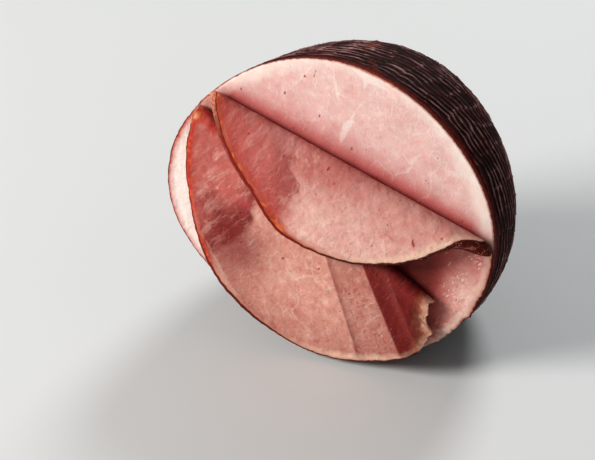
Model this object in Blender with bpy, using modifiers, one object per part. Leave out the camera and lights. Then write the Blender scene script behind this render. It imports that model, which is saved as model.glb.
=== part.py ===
"""Boneless country ham, cut in half, with two slices folded forward off its cut face.

Frame: +Z up, the cut face looks towards -Y and leans back a little, the domed end points to +Y.
The origin is on the surface that the ham rests on, under the middle of its bounding box.

Most of the shape is worked out in the plane of the cut face: u runs to the right (+X), w runs up
the leaning face, and n runs straight out of it.  The face's centre is u = w = n = 0.
"""
import math

import bmesh
import bpy
import numpy as np

# ---------------------------------------------------------------- driving dimensions (metres)
FACE_CENTRE = (0.0004, -0.0358, 0.0840)    # middle of the cut face; its height sets how far the ham sags
FACE_RADIUS = 0.0834                       # mean radius of the cut face
FACE_TILT = math.radians(5.0)              # the face leans back by this much
# Waviness of the face's outline: (cosine, sine) shares of the radius for 2, 3 and 4 lobes.
FACE_LOBES = {2: (0.0255, -0.0433), 3: (-0.0203, -0.0096), 4: (0.0101, 0.0046)}

HAM_DEPTH = 0.0940                         # from the cut face to the tip of the dome
DOME_DRIFT = (0.185, -0.197)               # sideways and downward run of the dome's middle, per depth
DOME_SQUARENESS = 3.2                      # 2 is a round dome, more is boxier
SQUARENESS_RIGHT = -0.9                    # change of squareness towards the right side
SQUARENESS_TOP = 0.2                       # and towards the top
SQUARENESS_SIDES = -0.2                    # and towards both sides alike

SLICE_THICKNESS = 0.0037
LAYER_GAP = 0.0003                         # clear space between pieces that touch
LAYER_PITCH = SLICE_THICKNESS + LAYER_GAP

# A fold runs straight from one (u, w) point on the face to the other.  The slice beyond it comes
# round a bend and hangs in front.  Bends and leans are given at the fold's left and right end.
INNER_FOLD = {
    "left": (-0.0678, 0.0569),
    "right": (0.0756, 0.0050),
    "layer": 0,                            # it lies on the block
    "bend": (0.0034, 0.0050),              # radius of the slice's middle sheet in the bend
    "lean": (math.radians(60), math.radians(5)),    # how far it stands off the face after the bend
    "hang": math.radians(2.5),             # lean that it eases to
    "ease": 0.010,                         # over about this length
    # Where the folded part's outline differs from the face's: angle, width, change of radius.
    "trim": [(math.radians(106), math.radians(22), -0.0058),
             (math.radians(22), math.radians(24), -0.0053)],
}
OUTER_FOLD = {
    "left": (-0.0684, 0.0467),
    "right": (0.0543, -0.0345),
    "layer": 1,                            # it lies on the inner slice
    "bend": (0.0024, 0.0024),
    "lean": (math.radians(1), math.radians(1)),
    "hang": math.radians(3),
    "ease": 0.031,
    "trim": [(math.radians(102), math.radians(30), -0.0087),
             (math.radians(26), math.radians(22), 0.0023)],
}
TRIM_STARTS = 0.012                        # the trims come in over this distance past the fold
TEAR_START = 0.1475                        # along the outer fold, where the slice is torn off
TEAR_SLOPE = 0.66                          # how fast the torn edge runs outwards on the folded part

# ---------------------------------------------------------------- fineness of the solids
DOME_SECTORS = 72
DOME_RINGS = 40
SLICE_COLUMNS = 24
FLAT_ROWS = 14
BEND_ROWS = 12
FLAP_ROWS = 14
OUTLINE_STEPS = 720
HANG_STEPS = 16
ROW_MARGIN = 0.0002                        # the first and last row stay this far inside the outline
CUT_TOLERANCE = 1e-5                       # points this close to a cutting plane count as on it
CUT_FACE_TOLERANCE = math.radians(2)       # a face turned less than this from the cut face is part of it
SHARP_ANGLE = math.radians(40)             # edges with a sharper turn are not shaded smooth

MATERIALS = {                              # base colour, roughness
    "smoked_rind": ((0.045, 0.012, 0.008), 0.45),
    "ham_meat": ((0.78, 0.36, 0.30), 0.50),
    "inner_slice_meat": ((0.74, 0.32, 0.27), 0.50),
    "outer_slice_meat": ((0.70, 0.28, 0.24), 0.50),
}


# ---------------------------------------------------------------- geometry of the face and dome
def face_radius(angle):
    """Radius of the cut face's outline at an angle from +u towards +w."""
    share = 1.0
    for lobes, (cosine, sine) in FACE_LOBES.items():
        share = share + cosine * np.cos(lobes * angle) + sine * np.sin(lobes * angle)
    return FACE_RADIUS * share


def to_world(u, w, n):
    """World positions of points given along the face and out of it."""
    x = FACE_CENTRE[0] + u
    y = FACE_CENTRE[1] + w * math.sin(FACE_TILT) - n * math.cos(FACE_TILT)
    z = FACE_CENTRE[2] + w * math.cos(FACE_TILT) + n * math.sin(FACE_TILT)
    return np.stack([x, y, z], axis=-1)


def dome_point(angle, depth):
    """Surface of the ham at an angle round its axis and a depth from 0 (face) to 1 (tip)."""
    square = (DOME_SQUARENESS + SQUARENESS_RIGHT * np.cos(angle) + SQUARENESS_TOP * np.sin(angle)
              + SQUARENESS_SIDES * np.cos(2 * angle))
    narrowing = np.maximum(1 - depth ** square, 0) ** (1 / square)
    radius = face_radius(angle) * narrowing
    u = radius * np.cos(angle) + DOME_DRIFT[0] * HAM_DEPTH * depth
    w = radius * np.sin(angle) + DOME_DRIFT[1] * HAM_DEPTH * depth
    return to_world(u, w, -HAM_DEPTH * depth)


# ---------------------------------------------------------------- geometry of a folded slice
def fold_axes(fold):
    """Start of the fold, its direction, and the direction in the face that points beyond it."""
    start = np.array(fold["left"])
    along = np.array(fold["right"]) - start
    length = np.linalg.norm(along)
    along = along / length
    return start, along, np.array([-along[1], along[0]]), length


def slice_rows(fold):
    """The flat slice's outline as the fold sees it: a function from m to its left and right end.

    m is the distance beyond the fold, so the slice spans from its lowest m to its highest m."""
    start, along, beyond, _ = fold_axes(fold)
    angle = np.linspace(0, 2 * math.pi, OUTLINE_STEPS, endpoint=False)
    direction = np.stack([np.cos(angle), np.sin(angle)], axis=-1)
    radius = face_radius(angle)
    past_fold = (radius[:, None] * direction - start) @ beyond
    share = np.clip(past_fold / TRIM_STARTS, 0, 1)
    for middle, width, change in fold["trim"]:
        away = np.angle(np.exp(1j * (angle - middle)))
        radius = radius + share * change * np.exp(-(away / width) ** 2)
    outline = radius[:, None] * direction - start
    outline = np.stack([outline @ along, outline @ beyond], axis=-1)
    outline = np.roll(outline, -np.argmin(outline[:, 1]), axis=0)
    top = np.argmax(outline[:, 1])
    right, left = outline[:top + 1], outline[top:][::-1]

    def ends(m):
        first = np.interp(m, left[:, 1], left[:, 0])
        last = np.interp(m, right[:, 1], right[:, 0])
        if fold is OUTER_FOLD:
            last = np.minimum(last, TEAR_START + TEAR_SLOPE * np.maximum(m, 0))
        return first, last

    return ends, outline[0, 1], outline[top, 1]


def folded(fold, s, m):
    """Where a point of the flat slice's middle sheet goes: s along the fold, m beyond it."""
    start, along, beyond, length = fold_axes(fold)
    share = np.clip(s / length, 0, 1)
    bend = fold["bend"][0] + (fold["bend"][1] - fold["bend"][0]) * share
    lean = fold["lean"][0] + (fold["lean"][1] - fold["lean"][0]) * share
    axis = -(bend + SLICE_THICKNESS / 2)               # the outside of the bend just reaches m = 0
    travel = np.maximum(m - axis, 0)                   # length of slice past the start of the bend
    turn = np.minimum(travel / bend, math.pi - lean)
    hang = np.maximum(travel - bend * (math.pi - lean), 0)
    steps = (np.arange(HANG_STEPS) + 0.5) / HANG_STEPS
    easing = np.exp(-hang[..., None] * steps / fold["ease"])
    slope = fold["hang"] + (lean[..., None] - fold["hang"]) * easing
    m_new = np.minimum(m, axis) + bend * np.sin(turn) - hang * np.cos(slope).mean(-1)
    n_new = bend * (1 - np.cos(turn)) + hang * np.sin(slope).mean(-1)
    n_new = n_new + LAYER_GAP + SLICE_THICKNESS / 2 + fold["layer"] * LAYER_PITCH
    place = start + s[..., None] * along + m_new[..., None] * beyond
    return place[..., 0], place[..., 1], n_new


# ---------------------------------------------------------------- building the solids
def new_material(name):
    colour, roughness = MATERIALS[name]
    material = bpy.data.materials.new(name)
    material.use_nodes = True
    shader = material.node_tree.nodes["Principled BSDF"]
    shader.inputs["Base Color"].default_value = (*colour, 1)
    shader.inputs["Roughness"].default_value = roughness
    shader.inputs["Metallic"].default_value = 0.0
    material.diffuse_color = (*colour, 1)
    return material


def add_object(name, mesh_data, collection, material_names):
    mesh = bpy.data.meshes.new(name)
    mesh_data.to_mesh(mesh)
    mesh_data.free()
    for material_name in material_names:
        mesh.materials.append(new_material(material_name))
    thing = bpy.data.objects.new(name, mesh)
    collection.objects.link(thing)
    return thing


def build_block(collection):
    """The half ham: a dome closed by its cut face, cut level where it rests."""
    data = bmesh.new()
    bmesh.ops.create_uvsphere(data, u_segments=DOME_SECTORS, v_segments=DOME_RINGS, radius=1)
    everything = data.verts[:] + data.edges[:] + data.faces[:]
    cut = bmesh.ops.bisect_plane(data, geom=everything, plane_co=(0, 0, 0), plane_no=(0, 0, 1),
                                 clear_inner=True, dist=CUT_TOLERANCE)
    rim = [item for item in cut["geom_cut"] if isinstance(item, bmesh.types.BMEdge)]
    bmesh.ops.edgeloop_fill(data, edges=rim)
    for vert in data.verts:
        angle = np.arctan2(vert.co.y, vert.co.x)
        vert.co = dome_point(angle, min(max(vert.co.z, 0.0), 1.0))
    everything = data.verts[:] + data.edges[:] + data.faces[:]
    cut = bmesh.ops.bisect_plane(data, geom=everything, plane_co=(0, 0, 0), plane_no=(0, 0, 1),
                                 clear_inner=True, dist=CUT_TOLERANCE)
    rim = [item for item in cut["geom_cut"] if isinstance(item, bmesh.types.BMEdge)]
    bmesh.ops.edgeloop_fill(data, edges=rim)
    bmesh.ops.recalc_face_normals(data, faces=data.faces[:])
    block = add_object("ham_block", data, collection, ["smoked_rind", "ham_meat"])
    cut_face_normal = to_world(0.0, 0.0, 1.0) - to_world(0.0, 0.0, 0.0)
    for face in block.data.polygons:
        on_cut_face = np.dot(face.normal, cut_face_normal) > math.cos(CUT_FACE_TOLERANCE)
        face.material_index = 1 if on_cut_face else 0
    block.data.shade_smooth()
    block.data.set_sharp_from_angle(angle=SHARP_ANGLE)
    return block


def build_slice(name, fold, collection, material_name):
    """One slice: a sheet in rows along its fold, bent over it and given its thickness."""
    ends, lowest, highest = slice_rows(fold)
    widest_bend = max(fold["bend"])
    bend_start = -(widest_bend + SLICE_THICKNESS / 2)
    bend_end = bend_start + math.pi * widest_bend
    quarter_turns = np.linspace(0, math.pi / 2, FLAT_ROWS + 1)[:-1]
    flat = lowest + ROW_MARGIN + (bend_start - lowest - ROW_MARGIN) * (1 - np.cos(quarter_turns))
    bend = np.linspace(bend_start, bend_end, BEND_ROWS, endpoint=False)
    quarter_turns = np.linspace(0, math.pi / 2, FLAP_ROWS + 1)
    flap = bend_end + (highest - ROW_MARGIN - bend_end) * np.sin(quarter_turns)
    rows = np.concatenate([flat, bend, flap])

    data = bmesh.new()
    bmesh.ops.create_grid(data, x_segments=SLICE_COLUMNS, y_segments=len(rows) - 1, size=1)
    for vert in data.verts:
        column = (vert.co.x + 1) / 2
        m = rows[round((vert.co.y + 1) / 2 * (len(rows) - 1))]
        first, last = ends(m)
        s = np.array(first + (last - first) * column)
        vert.co = to_world(*folded(fold, s, np.array(m)))
    sheet = add_object(name, data, collection, [material_name])
    shell = sheet.modifiers.new("thickness", "SOLIDIFY")
    shell.thickness = SLICE_THICKNESS
    shell.offset = 0.0
    sheet.data.shade_smooth()
    sheet.data.set_sharp_from_angle(angle=SHARP_ANGLE)
    return sheet


def main():
    for thing in list(bpy.data.objects):
        bpy.data.objects.remove(thing, do_unlink=True)
    collection = bpy.data.collections.new("country_ham")
    bpy.context.scene.collection.children.link(collection)
    build_block(collection)
    build_slice("inner_slice", INNER_FOLD, collection, "inner_slice_meat")
    build_slice("outer_slice", OUTER_FOLD, collection, "outer_slice_meat")


main()
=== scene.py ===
"""Looks of the boneless country ham: half a smoked ham with two slices folded off its cut face.

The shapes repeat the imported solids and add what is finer: the rind's netted ridges, the rounded
foot, the slices' uneven edges, creases and torn end.  Colours are all made by shader nodes.

Most shapes are worked out in the plane of the cut face: u runs to the right, w runs up the leaning
face and n runs straight out of it.  Lengths are in metres, and in millimetres in the materials.
"""
import functools
import itertools
from math import cos, pi, radians, sin

import bpy
import numpy as np
from mathutils import Matrix, Vector


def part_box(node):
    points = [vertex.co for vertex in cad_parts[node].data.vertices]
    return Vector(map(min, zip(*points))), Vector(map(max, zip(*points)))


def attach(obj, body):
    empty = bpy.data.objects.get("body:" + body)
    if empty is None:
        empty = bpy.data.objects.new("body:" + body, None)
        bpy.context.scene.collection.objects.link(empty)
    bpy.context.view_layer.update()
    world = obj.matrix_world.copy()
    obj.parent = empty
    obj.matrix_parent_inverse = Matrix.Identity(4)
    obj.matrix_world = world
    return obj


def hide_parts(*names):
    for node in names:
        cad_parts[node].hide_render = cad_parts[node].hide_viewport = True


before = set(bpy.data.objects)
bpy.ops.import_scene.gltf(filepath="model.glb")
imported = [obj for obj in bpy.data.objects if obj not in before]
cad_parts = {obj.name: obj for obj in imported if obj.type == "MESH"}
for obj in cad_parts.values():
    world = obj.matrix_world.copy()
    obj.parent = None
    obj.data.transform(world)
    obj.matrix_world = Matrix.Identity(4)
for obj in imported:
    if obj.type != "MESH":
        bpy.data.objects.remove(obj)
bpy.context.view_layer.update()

MM = 0.001

# ---- the ham's driving dimensions
FACE_RADIUS = 0.0834  # mean radius of the cut face
FACE_TILT = radians(5)  # the face leans back by this much
FACE_LOBES = {2: (0.0255, -0.0433), 3: (-0.0203, -0.0096), 4: (0.0101, 0.0046)}
HAM_DEPTH = 0.094  # from the cut face to the tip of the dome
DOME_DRIFT = (0.185, -0.197)  # sideways and downward run of the dome's middle, per depth
DOME_SQUARENESS = 3.2  # 2 is a round dome, more is boxier
SQUARENESS_RIGHT = -0.9
SQUARENESS_TOP = 0.2
SQUARENESS_SIDES = -0.2

# Trims and slants are humps in degrees and millimetres.  A slant is how much smaller the slice's
# back is than its front: there the rind faces the viewer.
SLICE_THICKNESS = 0.0037
LAYER_GAP = 0.0003
LAYER_PITCH = SLICE_THICKNESS + LAYER_GAP
INNER_FOLD = {
    "left": (-0.0678, 0.0569),
    "right": (0.0756, 0.005),
    "layer": 0,
    "bend": (0.0034, 0.005),
    "lean": (radians(60), radians(5)),
    "hang": radians(2.5),
    "ease": 0.01,
    "trim": [(106, 22, -5.8), (22, 24, -5.3)],
    "slant": (0.35, [(5.5, 6.5, 8), (20, 8, 1.5), (118, 24, 2.8), (90, 20, 1.2), (55, 25, 0.4)]),
}
OUTER_FOLD = {
    "left": (-0.0684, 0.0467),
    "right": (0.0543, -0.0345),
    "layer": 1,
    "bend": (0.0024, 0.0024),
    "lean": (radians(1), radians(1)),
    "hang": radians(3),
    "ease": 0.031,
    "trim": [(102, 30, -8.7), (26, 22, 2.3)],
    "slant": (0.3, [(125, 30, 0.7), (62, 26, 1.3)]),
}
TRIM_STARTS = 0.012
# Where the outer slice is torn off: (beyond its fold, along it).
TORN_END = ((-0.04, 0.147), (-0.008, 0.1478), (-0.0024, 0.1516), (-0.0008, 0.1508), (0.0008, 0.1498),
            (0.005, 0.1524), (0.0095, 0.1548), (0.0122, 0.157), (0.0138, 0.1622), (0.0225, 0.164))
HANG_STEPS = 16

# ---- finer shapes
RIND_COLUMNS = 352  # round the ham
RIND_ROW_FINE = 0.0006  # spacing of the rows that show, and of those at the back
RIND_ROW_COARSE = 0.00078
FINE_UNTIL = 0.072  # distance from the rim where the rows grow coarser
FOOT_SOFTNESS = 0.0006  # how gently the rind turns into the flat foot

NET_PITCH = 0.0047  # between the net's ridges, which run beside the rim
NET_START = 0.004  # the first of them, from the rim
NET_MESH = 0.0118  # between its crossings
RIDGE_HEIGHT = 0.00095
RIDGE_WIDTH = 0.125  # as a share of the pitch
CROSSING_HEIGHT = 0.00045
CROSSING_WIDTH = 0.07  # as a share of the mesh
RIND_GRAIN = 0.00014
TIP_GATHERS = 14  # pleats that the rind is gathered into at its tip
TIP_RADIUS = 0.02
PLEAT_HEIGHT = 0.0011
PLEAT_SINK = 0.0008
TIP_SINK = 0.0012

FACE_RELIEF = 0.00018
FACE_SINK = 0.0001
SLICE_CELLS = 205  # each side of a slice is a grid of this many squares across
SLICE_RELIEF = 0.0001
SLICE_GRAIN = 0.00006
WAVE_HEIGHT = 0.00045
RIM_ROWS = 8  # rows of faces across a slice's edge
RIM_BULGE = 0.0007
RIM_GRAIN = 0.00022
RIM_ROUNDING = 0.0003
UNEVEN_EDGE = 0.00028
RAGGED_EDGE = 0.0008
RAGGED_TEAR = 0.0007
FEATHER_DEPTH = 0.0019  # taken off the outer slice at its torn end, and how far from there
FEATHER_WIDTH = 0.009

rng = np.random.default_rng(11)
LATTICE = rng.uniform(-1, 1, 8192)
LATTICE_STEPS = np.array([1, 157, 7919])


# ---- soft noise and small helpers
def noise(points, size, seed=0):
    """Smooth noise from -1 to 1 at each point, with bumps of about the given size."""
    cells = np.asarray(points, float) / size + 31.7 * (seed + 1)
    base = np.floor(cells).astype(np.int64)
    part = cells - base
    part = part * part * (3 - 2 * part)
    total = np.zeros(cells.shape[:-1])
    for corner in itertools.product((0, 1), repeat=cells.shape[-1]):
        weight = np.prod(np.where(corner, part, 1 - part), axis=-1)
        key = (base + corner) @ LATTICE_STEPS[:cells.shape[-1]]
        total += weight * LATTICE[key % len(LATTICE)]
    return total


def rough_noise(points, size, octaves=3, seed=0):
    """Noise with ever smaller and weaker bumps added."""
    return sum(noise(points, size / 2 ** k, seed + 7 * k) / 1.8 ** k for k in range(octaves))


def ramp(low, high, value):
    """Rises softly from 0 at low to 1 at high."""
    share = np.clip((value - low) / (high - low), 0, 1)
    return share * share * (3 - 2 * share)


def heading(angle):
    return np.stack([np.cos(angle), np.sin(angle)], axis=-1)


def wrapped(angle):
    """The same angle, between -pi and pi."""
    return np.angle(np.exp(1j * angle))


def lengths(vectors):
    return np.linalg.norm(vectors, axis=-1)


def unit(vectors):
    return vectors / np.maximum(lengths(vectors), 1e-12)[..., None]


def humps(angle, base, bumps):
    """A value round the ham: a base with soft humps, each (middle, width, height), at some degrees."""
    value = np.full_like(angle, base)
    for middle, width, height in bumps:
        away = np.degrees(wrapped(angle - radians(middle)))
        value = value + height * np.exp(-(away / width) ** 2)
    return value


def stroke_distance(places, corners):
    """Distance of each place from a line through the corners."""
    nearest = np.full(places.shape[:-1], np.inf)
    for start, end in zip(corners, corners[1:]):
        start, run = np.array(start), np.array(end) - np.array(start)
        share = np.clip((places - start) @ run / (run @ run), 0, 1)
        nearest = np.minimum(nearest, lengths(places - start - share[..., None] * run))
    return nearest


# ---- geometry of the face and dome
FACE_CENTRE = np.zeros(3)  # set below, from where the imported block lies


def face_radius(angle):
    """Radius of the cut face's outline at an angle from +u towards +w."""
    share = 1
    for lobes, (cosine, sine) in FACE_LOBES.items():
        share = share + cosine * np.cos(lobes * angle) + sine * np.sin(lobes * angle)
    return FACE_RADIUS * share


def to_world(u, w, n):
    """World positions of points in the face's u, w and n."""
    x = FACE_CENTRE[0] + u
    y = FACE_CENTRE[1] + w * sin(FACE_TILT) - n * cos(FACE_TILT)
    z = FACE_CENTRE[2] + w * cos(FACE_TILT) + n * sin(FACE_TILT)
    return np.stack([x, y, z], axis=-1)


def dome_point(angle, depth):
    """Surface of the ham at an angle round its axis and a depth from 0 (face) to 1 (tip)."""
    square = (DOME_SQUARENESS + SQUARENESS_RIGHT * np.cos(angle) + SQUARENESS_TOP * np.sin(angle)
              + SQUARENESS_SIDES * np.cos(2 * angle))
    radius = face_radius(angle) * np.maximum(1 - depth ** square, 0) ** (1 / square)
    u = radius * np.cos(angle) + DOME_DRIFT[0] * HAM_DEPTH * depth
    w = radius * np.sin(angle) + DOME_DRIFT[1] * HAM_DEPTH * depth
    return to_world(u, w, -HAM_DEPTH * depth)


def find_face_centre():
    """The face's middle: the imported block's left, back and top are those of a dome round it."""
    angle = np.linspace(0, 2 * pi, 73)[:, None]
    depth = np.sin(np.linspace(0, pi / 2, 21))
    x, y, z = dome_point(angle, depth).reshape(-1, 3).T
    low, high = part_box("ham_block")
    return np.array([low.x - x.min(), high.y - y.max(), high.z - z.max()])


# ---- geometry of a folded slice
def fold_axes(fold):
    """The fold's start, its direction, the face's direction beyond it, and its length."""
    start = np.array(fold["left"])
    along = np.array(fold["right"]) - start
    length = np.linalg.norm(along)
    along = along / length
    return start, along, np.array([-along[1], along[0]]), length


def fold_place(fold, flat):
    """Along the fold and beyond it, for points (u, w) of the flat slice."""
    start, along, beyond, _ = fold_axes(fold)
    return (flat - start) @ along, (flat - start) @ beyond


def slice_radius(fold, angle):
    """Radius of the unfolded slice's outline."""
    radius = face_radius(angle)
    _, beyond_fold = fold_place(fold, radius[..., None] * heading(angle))
    trimmed = np.clip(beyond_fold / TRIM_STARTS, 0, 1)
    return radius + trimmed * MM * humps(angle, 0, fold["trim"])


def folded(fold, s, m):
    """Where a point of the flat slice's middle sheet goes: s along the fold, m beyond it."""
    start, along, beyond, length = fold_axes(fold)
    share = np.clip(s / length, 0, 1)
    bend, lean = (fold[key][0] + (fold[key][1] - fold[key][0]) * share for key in ("bend", "lean"))
    axis = -(bend + SLICE_THICKNESS / 2)
    travel = np.maximum(m - axis, 0)
    turn = np.minimum(travel / bend, pi - lean)
    hang = np.maximum(travel - bend * (pi - lean), 0)
    steps = (np.arange(HANG_STEPS) + 0.5) / HANG_STEPS
    easing = np.exp(-hang[..., None] * steps / fold["ease"])
    slope = fold["hang"] + (lean[..., None] - fold["hang"]) * easing
    m_new = np.minimum(m, axis) + bend * np.sin(turn) - hang * np.cos(slope).mean(-1)
    n_new = bend * (1 - np.cos(turn)) + hang * np.sin(slope).mean(-1)
    n_new = n_new + LAYER_GAP + SLICE_THICKNESS / 2 + fold["layer"] * LAYER_PITCH
    place = start + s[..., None] * along + m_new[..., None] * beyond
    return np.stack([place[..., 0], place[..., 1], n_new], axis=-1)


def slice_point(fold, flat, offset):
    """World position of a flat slice's point: offset from its middle sheet, which waves a little."""
    s, m = fold_place(fold, flat)
    step = 2e-5
    sheet = folded(fold, s, m)
    along_s = folded(fold, s + step, m) - sheet
    along_m = folded(fold, s, m + step) - sheet
    out = offset + slice_wave(fold, flat)
    place = sheet + unit(np.cross(along_m, along_s)) * out[..., None]
    return to_world(place[..., 0], place[..., 1], place[..., 2])


# ---- meshes
def square_grid(cells):
    """A square grid's points mapped onto a round disc: radius share and angle, row by row."""
    line = np.linspace(-1, 1, cells + 1)
    a, b = np.meshgrid(line, line)
    wide = np.abs(a) > np.abs(b)
    safe_a, safe_b = (np.where(side == 0, 1, side) for side in (a, b))
    share = np.where(wide, a, b)
    angle = np.where(wide, pi / 4 * b / safe_a, pi / 2 - pi / 4 * a / safe_b)
    angle = np.where((a == 0) & (b == 0), 0, angle) + np.where(share < 0, pi, 0)
    return np.abs(share).ravel(), angle.ravel()


def grid_faces(cells):
    """Faces of a square grid, and its border's points in order, anticlockwise."""
    index = np.arange((cells + 1) ** 2).reshape(cells + 1, cells + 1)
    quads = np.stack([index[:-1, :-1], index[:-1, 1:], index[1:, 1:], index[1:, :-1]], axis=-1)
    border = np.concatenate([index[0, :-1], index[:-1, -1], index[-1, :0:-1], index[:0:-1, 0]])
    return quads.reshape(-1, 4), border


def make_object(name, points, faces, attributes, materials, face_material=None):
    """A smooth-shaded mesh object with named values at its points."""
    mesh = bpy.data.meshes.new(name)
    mesh.from_pydata(points.tolist(), [], faces)
    for key, values in attributes.items():
        values = np.asarray(values, np.float32)
        kind, field = ("FLOAT", "value") if values.ndim == 1 else ("FLOAT_VECTOR", "vector")
        mesh.attributes.new(key, kind, "POINT").data.foreach_set(field, values.ravel())
    for material in materials:
        mesh.materials.append(material)
    if face_material is not None:
        mesh.polygons.foreach_set("material_index", np.asarray(face_material, np.int32))
    mesh.shade_smooth()
    mesh.update()
    thing = bpy.data.objects.new(name, mesh)
    bpy.context.scene.collection.objects.link(thing)
    return thing


# ---- where fat, red muscle and rind lie
# Everything here is in millimetres and degrees of the cut face.  Fat, glow and line are a base and its
# humps, the muscle's edge is a line of points (w, u), and a vein is one of (u, w, half its width).
BLOCK_FACE = {
    "fat": (0.6, [(14, 24, 4.2), (-10, 30, 2), (45, 18, 1.4), (76, 9, 1.6), (118, 24, 3)]),
    "glow": (0.3, [(75, 12, 0.6), (125, 30, -0.2)]),
    "line": (0.35, []),
}
INNER_BACK = {
    "fat": (0.2, [(78, 16, 1.2), (45, 16, 2), (20, 14, 3.4)]),
    "glow": (-3, [(112, 40, 4.6), (86, 10, 2.7), (66, 16, 2.4), (142, 10, 3)]),
    "line": (0.45, [(50, 40, 0.45), (88, 16, 0.3)]),
    "muscle": ((38, -15), (44, -13), (50, -11), (52.5, -4), (56, 1), (61, 0), (68, 2.5), (79, 5)),
}
INNER_FRONT = {
    "fat": (1.4, [(-14, 30, 1.6), (-40, 10, 1), (-62, 14, -2.4)]),
    "glow": (0.2, [(-25, 20, 0.2)]),
    "line": (0.3, []),
}
OUTER_BACK = {
    "fat": (0.2, [(72, 14, 2.4), (46, 14, 0.8), (8, 20, 3)]),
    "glow": (-2, [(128, 36, 4.2), (84, 9, 2.6), (52, 30, 2.6)]),
    "line": (0.45, [(128, 28, -0.7), (62, 22, 0.9)]),
    "muscle": ((34, -16), (39, -10), (41, -5), (49, 1), (56, 4.5), (65, 6.6), (75, 10)),
}
OUTER_FRONT = {
    "fat": (2, [(180, 40, 13)]),
    "glow": (0.3, [(150, 40, 0.6)]),
    "line": (0.25, []),
}
NO_MUSCLE = -60.0
BLOCK_VEINS = [
    [(7, 51.5, 1.2), (4.4, 48, 1.8), (3, 43, 1.2), (2, 38.5, 0.4)],
    [(7, 53, 0.4), (9, 58, 0), (12, 63.5, 0)],
    [(-4, 82, 0.1), (-3.2, 75, 0.1), (-1.5, 66, 0.3), (0.5, 60, 0)],
    [(-1.5, 66, 0.2), (3, 64, 0)],
    [(8, 80.5, 1.2), (13.5, 76.5, 2), (19, 74.5, 1), (25, 72, 0.1)],
    [(14, 77, 1.4), (12.5, 71, 0.2)],
    [(-13.7, 79, 0.2), (-18.7, 71.8, 0.1), (-25.6, 62.5, 0)],
    [(18, 28, 0), (21, 32.5, 0), (25.5, 29, 0), (30, 26, 0.2), (29.5, 21, 0)],
    [(25.5, 29, 0), (24.5, 24, 0)],
    [(30, 26, 0), (37, 30, 0.25), (39.5, 33.5, 0), (39, 37, 0), (44, 41, 0)],
    [(53, 36, 0), (49, 30.5, 0.1), (50, 22, 0.05), (48.5, 18, 0.15), (43, 14, 0)],
    [(39.5, 33.5, 0), (34, 39, 0)],
]
OUTER_VEINS = [
    [(31.4, 29.8, 0.2), (30.1, 24.5, 0.5), (30.9, 19.8, 0.3), (34.8, 19, 0.4), (33.8, 14.5, 0),
     (41, 12.6, 0.3)],
    [(17.9, 15.6, 0), (24, 17.4, 0.1), (30.9, 19.8, 0.3)],
    [(36, 31, 0), (45.1, 33.2, 0.1), (49.1, 39.1, 0.2), (56, 37, 0)],
    [(31.4, 29.8, 0.3), (24, 33, 0)],
    [(1, 71, 0), (8, 70.6, 0.5), (15.5, 69.8, 0.9), (24, 68, 0.2)],
]
INNER_VEINS = [
    [(50, 43, 0.15), (54.6, 47.5, 0.2)],
    [(4.2, 73.4, 0), (19.3, 74.2, 0.2), (28.5, 71.5, 0)],
    [(56.5, -58.1, 0.6), (61.8, -57.3, 1.1), (66.8, -55.2, 1.1), (70.7, -50.4, 0.4)],
]
INNER_GASHES = [[(56.4, 28, 0.1), (57.4, 29.2, 0.55), (59.6, 30.8, 0.2)]]
BLOCK_GASHES = [[(-12.5, 75, 0.1), (-13.4, 72, 0.2)]]
# The outer slice's hanging part bends away at these lines, which run across it: (u, w) at two places.
CREASES = ((30, 9.2), (80, 11.6)), ((30, -9.8), (83, -12.2)), ((42, -21), (78, -22.2))
# Red streaks on the rind: (degrees, millimetres from the rim) at both ends, and half the width.
RIND_STREAKS = [((78, 1), (84, 15), 3), ((92, 30), (95, 60), 4), ((37, 1), (38, 5), 1.4)]
# Where the inner slice's rim hangs further or less far than its plain outline.
INNER_BULGES = [(15, 6, -2.2), (3.5, 5, 4.2), (114, 18, 2.1), (84, 9, 2.2)]


def meat_marks(flat, edge, marks):
    """The values that the meat's material reads at each point of a cut surface, in millimetres.

    fat, glow and line are how far a point is outside the fat, the red line inside the rind with its painted
    glow, and the rind's line at the rim; red is how far it is inside the dark muscle."""
    flat = flat / MM
    angle = np.arctan2(flat[:, 1], flat[:, 0])
    values = {key: edge / MM - humps(angle, *marks[key]) for key in ("fat", "glow", "line")}
    values["red"] = np.full(len(flat), NO_MUSCLE)
    if "muscle" in marks:
        heights, places = zip(*marks["muscle"])
        values["red"] = np.interp(flat[:, 1], heights, places) - flat[:, 0]
    values["flat"] = np.insert(flat, 2, 0, axis=1)
    return values


# ---- the block
def meridian_depths(angle, arcs):
    """Depths at the given shares of the rind's way from rim to tip, and the length of that way."""
    depth = np.concatenate([np.linspace(0, 0.9, 240), 0.9 + 0.1 * (1 - np.linspace(1, 0, 161)[1:] ** 3)])
    line = dome_point(np.full_like(depth, angle), depth)
    run = np.concatenate([[0], np.cumsum(lengths(np.diff(line, axis=0)))])
    return np.interp(arcs * run[-1], run, depth), run[-1]


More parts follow.
